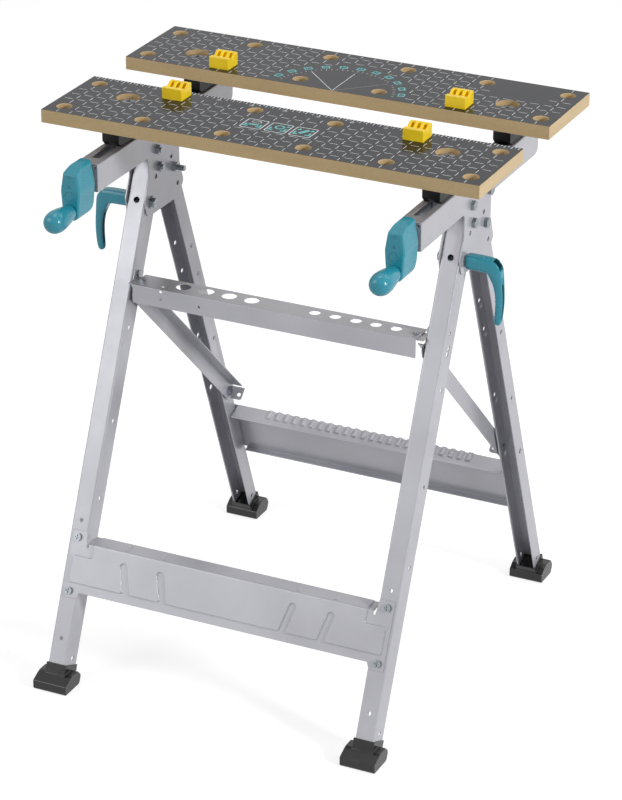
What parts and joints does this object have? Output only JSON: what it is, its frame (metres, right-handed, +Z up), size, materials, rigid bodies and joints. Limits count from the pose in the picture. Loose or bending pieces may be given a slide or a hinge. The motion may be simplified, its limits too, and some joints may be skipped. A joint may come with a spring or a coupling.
{
  "type": "folding clamping work table",
  "caption": "Folding steel sawhorse frame carrying two wooden clamping jaws with peg holes, driven by two cranks, with bench dogs, tool tray, hand levers and folding legs.",
  "frame": {"origin": "on the floor, midway between the left and right sides and midway between the front edge of the front feet and the rear edge of the rear feet", "axes": "+Z up; +X to the right along the jaws, as seen by someone at the cranks; +Y from the cranks to the rear legs"},
  "size_m": [0.645, 0.6475, 0.8185],
  "materials": {
    "grey_steel": "semi-gloss silver-grey enamel on sheet steel",
    "jaw_board": "bare fibreboard edges; the top has a dark grey printed film",
    "teal_plastic": "satin moulded teal plastic",
    "yellow_plastic": "satin moulded yellow plastic",
    "black_plastic": "satin black plastic",
    "foot_rubber": "satin black rubber",
    "zinc": "zinc-plated steel"
  },
  "bodies": {
    "front_frame": {"front_leg_left": "grey_steel", "front_leg_right": "grey_steel", "front_foot_left": "foot_rubber", "front_foot_right": "foot_rubber", "front_panel": "grey_steel", "front_panel_screws": "zinc", "tool_tray": "grey_steel", "tray_bracket_left": "grey_steel", "tray_bracket_right": "grey_steel", "tray_screws": "zinc", "strut_upper_pins": "zinc"},
    "top_frame": {"rail_left": "grey_steel", "rail_right": "grey_steel", "rail_end_plate_left": "grey_steel", "rail_end_plate_right": "grey_steel", "gusset_bolts": "zinc", "rear_pivot_studs": "zinc", "rear_slider_left": "black_plastic", "rear_slider_right": "black_plastic", "rear_jaw": "jaw_board", "rear_jaw_bolts": "zinc", "rear_anchor_plates": "zinc"},
    "jaw_carriage": {"front_jaw": "jaw_board", "front_slider_left": "black_plastic", "front_slider_right": "black_plastic", "front_jaw_bolts": "zinc", "spindle_nut_left": "zinc", "spindle_nut_right": "zinc"},
    "rear_frame": {"rear_leg_left": "grey_steel", "rear_leg_right": "grey_steel", "rear_foot_left": "foot_rubber", "rear_foot_right": "foot_rubber", "rear_panel": "grey_steel", "rear_panel_screws": "zinc", "strut_lower_rivets": "zinc"},
    "strut_arm_left": {"strut_left": "grey_steel", "strut_lower_pin_left": "zinc"},
    "crank_left": {"spindle_left": "zinc", "crank_arm_left": "teal_plastic", "grip_pin_left": "zinc"},
    "grip_left": {"crank_grip_left": "teal_plastic"},
    "lever_left": {"clamp_lever_left": "teal_plastic", "clamp_bolt_left": "zinc"},
    "dog_front_left": {"front_dog_left": "yellow_plastic"},
    "dog_rear_left": {"rear_dog_left": "yellow_plastic"},
    "strut_arm_right": {"strut_right": "grey_steel", "strut_lower_pin_right": "zinc"},
    "crank_right": {"spindle_right": "zinc", "crank_arm_right": "teal_plastic", "grip_pin_right": "zinc"},
    "grip_right": {"crank_grip_right": "teal_plastic"},
    "lever_right": {"clamp_lever_right": "teal_plastic", "clamp_bolt_right": "zinc"},
    "dog_front_right": {"front_dog_right": "yellow_plastic"},
    "dog_rear_right": {"rear_dog_right": "yellow_plastic"}
  },
  "joints": [
    {"name": "fold_top", "type": "hinge", "parent": "front_frame", "child": "top_frame", "pos_m": [0, -0.0257, 0.637], "axis": [-1, 0, 0], "range_deg": [0, 110]},
    {"name": "fold_rear_legs", "type": "hinge", "parent": "top_frame", "child": "rear_frame", "pos_m": [0, 0.0403, 0.668], "axis": [1, 0, 0], "range_deg": [0, 69.84]},
    {"name": "front_jaw_slide", "type": "slide", "parent": "top_frame", "child": "jaw_carriage", "axis": [0, 1, 0], "range_m": [-0.0184, 0.0913]},
    {"name": "fold_strut_left", "type": "hinge", "parent": "front_frame", "child": "strut_arm_left", "pos_m": [-0.2207, -0.07629, 0.51833], "axis": [-1, 0, 0], "range_deg": [0, 60.09]},
    {"name": "left_crank_spin", "type": "hinge", "parent": "top_frame", "child": "crank_left", "pos_m": [-0.238, -0.1832, 0.725], "axis": [0, 1, 0], "range_deg": [-1650, 8210]},
    {"name": "left_grip_spin", "type": "hinge", "parent": "crank_left", "child": "grip_left", "pos_m": [-0.238, -0.2272, 0.692], "axis": [0, 1, 0], "continuous": true},
    {"name": "left_clamp_lever", "type": "hinge", "parent": "front_frame", "child": "lever_left", "pos_m": [-0.256, -0.0257, 0.637], "axis": [-1, 0, 0], "range_deg": [0, 120]},
    {"name": "front_left_dog_lift", "type": "slide", "parent": "jaw_carriage", "child": "dog_front_left", "axis": [0, 0, 1], "range_m": [0, 0.03]},
    {"name": "rear_left_dog_lift", "type": "slide", "parent": "top_frame", "child": "dog_rear_left", "axis": [0, 0, 1], "range_m": [0, 0.03]},
    {"name": "fold_strut_right", "type": "hinge", "parent": "front_frame", "child": "strut_arm_right", "pos_m": [0.2207, -0.07629, 0.51833], "axis": [-1, 0, 0], "range_deg": [0, 60.09]},
    {"name": "right_crank_spin", "type": "hinge", "parent": "top_frame", "child": "crank_right", "pos_m": [0.238, -0.1832, 0.725], "axis": [0, 1, 0], "range_deg": [-1650, 8210]},
    {"name": "right_grip_spin", "type": "hinge", "parent": "crank_right", "child": "grip_right", "pos_m": [0.238, -0.2272, 0.692], "axis": [0, 1, 0], "continuous": true},
    {"name": "right_clamp_lever", "type": "hinge", "parent": "front_frame", "child": "lever_right", "pos_m": [0.256, -0.0257, 0.637], "axis": [-1, 0, 0], "range_deg": [0, 120]},
    {"name": "front_right_dog_lift", "type": "slide", "parent": "jaw_carriage", "child": "dog_front_right", "axis": [0, 0, 1], "range_m": [0, 0.03]},
    {"name": "rear_right_dog_lift", "type": "slide", "parent": "top_frame", "child": "dog_rear_right", "axis": [0, 0, 1], "range_m": [0, 0.03]}
  ],
  "couplings": [
    {"joint": "fold_rear_legs", "follows": "fold_top", "ratio": 0.6313},
    {"joint": "fold_strut_left", "follows": "fold_top", "ratio": 0.5426},
    {"joint": "fold_strut_right", "follows": "fold_top", "ratio": 0.5426},
    {"joint": "left_crank_spin", "follows": "right_crank_spin", "ratio": 1},
    {"joint": "front_jaw_slide", "follows": "right_crank_spin", "m_per_rad": 0.00063662}
  ]
}
